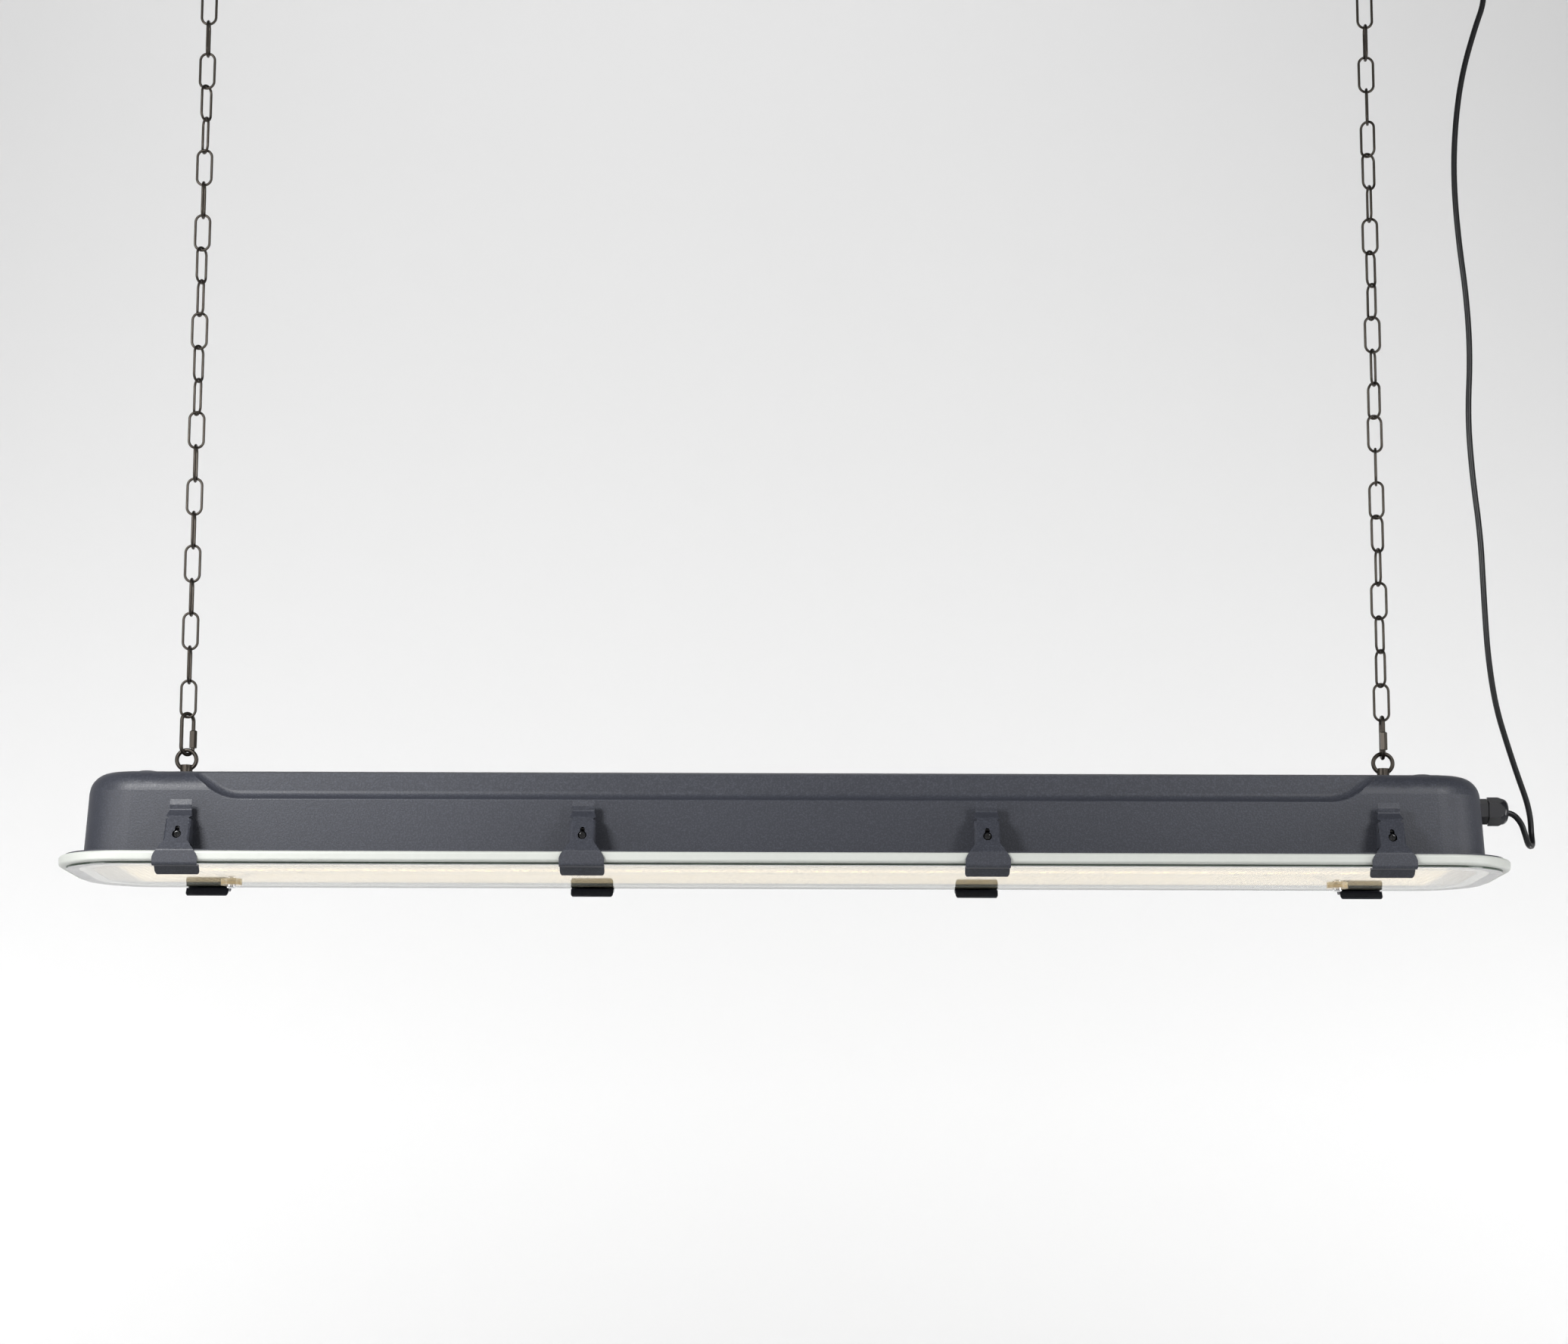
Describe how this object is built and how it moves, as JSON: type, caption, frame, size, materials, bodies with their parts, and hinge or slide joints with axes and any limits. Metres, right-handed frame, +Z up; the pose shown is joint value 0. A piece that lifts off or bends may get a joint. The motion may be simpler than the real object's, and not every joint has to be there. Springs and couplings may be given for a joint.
{
  "type": "linear pendant lamp",
  "caption": "Long sealed sheet-metal pendant lamp on chains, with a gasketed prismatic glass under spring clips, a cable gland and a ceiling rose.",
  "frame": {"origin": "on the ceiling plane, midway between the two ceiling hooks", "axes": "+X along the lamp towards the cable gland, +Y to its rear, +Z up into the ceiling"},
  "size_m": [1.2559, 0.205, 0.8336],
  "materials": {
    "dark_steel": "dark brown-black semi-gloss",
    "grey_paint": "fine sandy grey powder coat",
    "plain_steel": "zinc plated",
    "bright_screw": "bright nickel plated",
    "black_screw": "black, glossy",
    "cream_rubber": "cream silicone, semi-matt",
    "green_glass": "clear with a green edge, prismatic inside",
    "amber_washer": "amber translucent",
    "black_nylon": "black glossy nylon",
    "black_rubber": "matt black",
    "black_cable": "black glossy sheath",
    "white_sheet": "white powder coat",
    "white_board": "white solder mask",
    "led_yellow": "yellow phosphor",
    "white_case": "white moulded plastic",
    "lead_sleeve": "insulated lead"
  },
  "bodies": {
    "ceiling_fixings": {"ceiling_hook_left": "dark_steel", "ceiling_hook_right": "dark_steel", "ceiling_rose": "grey_paint", "rose_strap": "plain_steel", "rose_side_screws": "bright_screw", "rose_cord_grip": "black_nylon", "rose_grip_nut": "black_nylon"},
    "lamp": {"blanking_plug_nuts": "plain_steel", "blanking_plugs": "grey_paint", "cable_tail": "black_cable", "chain_left": "dark_steel", "chain_right": "dark_steel", "clip_bracket_front_4": "grey_paint", "clip_bracket_rear_4": "grey_paint", "clip_brackets": "grey_paint", "clip_nuts": "plain_steel", "clip_pins": "black_screw", "clip_screws": "black_screw", "clip_springs": "plain_steel", "driver_leads": "lead_sleeve", "driver_screws": "plain_steel", "earth_stud": "plain_steel", "eye_bolt_left": "dark_steel", "eye_bolt_nuts": "plain_steel", "eye_bolt_right": "dark_steel", "eye_bolt_washers": "dark_steel", "gear_tray": "white_sheet", "gland_body": "black_nylon", "gland_locknut": "black_nylon", "gland_seal": "black_rubber", "glass_cover": "green_glass", "glass_pillars": "plain_steel", "glass_screws": "bright_screw", "glass_washers": "amber_washer", "housing": "grey_paint", "inner_leads": "lead_sleeve", "led_board_front": "white_board", "led_board_rear": "white_board", "led_chips": "led_yellow", "led_driver": "white_case", "quick_link_left": "dark_steel", "quick_link_right": "dark_steel", "rim_gasket": "cream_rubber", "supply_cable": "black_cable", "terminal_block": "white_case", "terminal_screws": "plain_steel", "tray_pillars": "plain_steel", "tray_screws": "plain_steel"},
    "clip_front_1": {"clip_front_1": "grey_paint"},
    "clip_front_2": {"clip_front_2": "grey_paint"},
    "clip_front_3": {"clip_front_3": "grey_paint"},
    "clip_front_4": {"clip_front_4": "grey_paint"},
    "clip_rear_1": {"clip_rear_1": "grey_paint"},
    "clip_rear_2": {"clip_rear_2": "grey_paint"},
    "clip_rear_3": {"clip_rear_3": "grey_paint"},
    "clip_rear_4": {"clip_rear_4": "grey_paint"},
    "quick_link_sleeve_left": {"quick_link_sleeve_left": "dark_steel"},
    "quick_link_sleeve_right": {"quick_link_sleeve_right": "dark_steel"},
    "gland_nut": {"gland_nut": "black_nylon"}
  },
  "joints": [
    {"name": "lamp_swing", "type": "hinge", "parent": "ceiling_fixings", "child": "lamp", "pos_m": [0, 0, -0.023], "axis": [1, 0, 0], "range_deg": [-20, 20], "deforming": ["supply_cable"]},
    {"name": "open_clip_front_1", "type": "hinge", "parent": "lamp", "child": "clip_front_1", "pos_m": [-0.495, -0.0866, -0.7955], "axis": [-1, 0, 0], "range_deg": [0, 20], "stiffness_Nm_per_rad": 0.2, "springref_deg": -17.19, "deforming": ["clip_springs"]},
    {"name": "open_clip_front_2", "type": "hinge", "parent": "lamp", "child": "clip_front_2", "pos_m": [-0.165, -0.0866, -0.7955], "axis": [-1, 0, 0], "range_deg": [0, 20], "stiffness_Nm_per_rad": 0.2, "springref_deg": -17.19, "deforming": ["clip_springs"]},
    {"name": "open_clip_front_3", "type": "hinge", "parent": "lamp", "child": "clip_front_3", "pos_m": [0.165, -0.0866, -0.7955], "axis": [-1, 0, 0], "range_deg": [0, 20], "stiffness_Nm_per_rad": 0.2, "springref_deg": -17.19, "deforming": ["clip_springs"]},
    {"name": "open_clip_front_4", "type": "hinge", "parent": "lamp", "child": "clip_front_4", "pos_m": [0.495, -0.0866, -0.7955], "axis": [-1, 0, 0], "range_deg": [0, 20], "stiffness_Nm_per_rad": 0.2, "springref_deg": -17.19, "deforming": ["clip_springs"]},
    {"name": "open_clip_rear_1", "type": "hinge", "parent": "lamp", "child": "clip_rear_1", "pos_m": [-0.49725, 0.0866, -0.7955], "axis": [1, 0, 0], "range_deg": [0, 20], "stiffness_Nm_per_rad": 0.2, "springref_deg": -17.19, "deforming": ["clip_springs"]},
    {"name": "open_clip_rear_2", "type": "hinge", "parent": "lamp", "child": "clip_rear_2", "pos_m": [-0.16575, 0.0866, -0.7955], "axis": [1, 0, 0], "range_deg": [0, 20], "stiffness_Nm_per_rad": 0.2, "springref_deg": -17.19, "deforming": ["clip_springs"]},
    {"name": "open_clip_rear_3", "type": "hinge", "parent": "lamp", "child": "clip_rear_3", "pos_m": [0.16575, 0.0866, -0.7955], "axis": [1, 0, 0], "range_deg": [0, 20], "stiffness_Nm_per_rad": 0.2, "springref_deg": -17.19, "deforming": ["clip_springs"]},
    {"name": "open_clip_rear_4", "type": "hinge", "parent": "lamp", "child": "clip_rear_4", "pos_m": [0.49725, 0.0866, -0.7955], "axis": [1, 0, 0], "range_deg": [0, 20], "stiffness_Nm_per_rad": 0.2, "springref_deg": -17.19, "deforming": ["clip_springs"]},
    {"name": "left_sleeve_slide", "type": "slide", "parent": "lamp", "child": "quick_link_sleeve_left", "axis": [0, 0, 1], "range_m": [0, 0.0082]},
    {"name": "right_sleeve_slide", "type": "slide", "parent": "lamp", "child": "quick_link_sleeve_right", "axis": [0, 0, 1], "range_m": [0, 0.0082]},
    {"name": "gland_nut_turn", "type": "hinge", "parent": "lamp", "child": "gland_nut", "pos_m": [0.6, 0, -0.7682], "axis": [1, 0, 0], "continuous": true}
  ]
}
